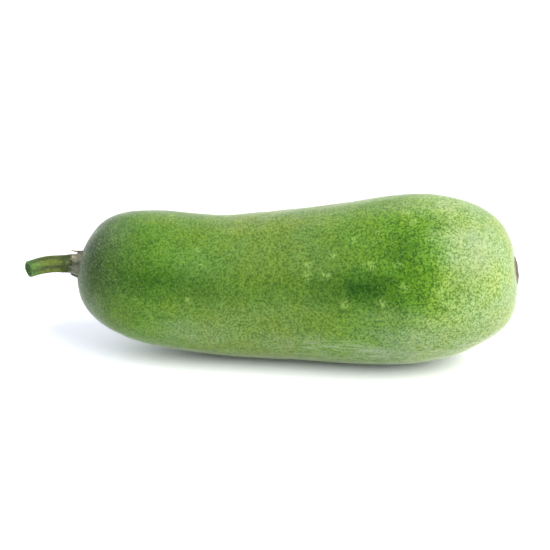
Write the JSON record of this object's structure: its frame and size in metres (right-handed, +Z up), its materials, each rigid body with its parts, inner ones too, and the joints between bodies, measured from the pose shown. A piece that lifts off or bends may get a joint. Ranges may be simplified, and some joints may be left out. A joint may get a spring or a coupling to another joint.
{
  "type": "wax gourd",
  "caption": "Whole wax gourd lying on its side, slightly bent and waisted, with a short cut stem, a corky collar at its foot and a blossom scar.",
  "frame": {"origin": "middle of the small flat on the underside that the gourd rests on", "axes": "+X from the stem end to the blossom end, +Z up, -Y the side that the stem and both ends bend towards"},
  "size_m": [0.2913, 0.1008, 0.1026],
  "materials": {
    "rind": "matt green rind with fine pale flecks and short soft hairs, blue-green at the stem end and pale yellow-green at the blossom end",
    "stem": "ridged yellow-green stalk, satin, with a freshly cut end",
    "cork": "dry flaking cork, matt",
    "scar": "dark dry cork, matt"
  },
  "bodies": {
    "root": {"fruit": "rind", "stem": "stem", "stem_collar": "cork", "blossom_scar": "scar"}
  },
  "joints": []
}
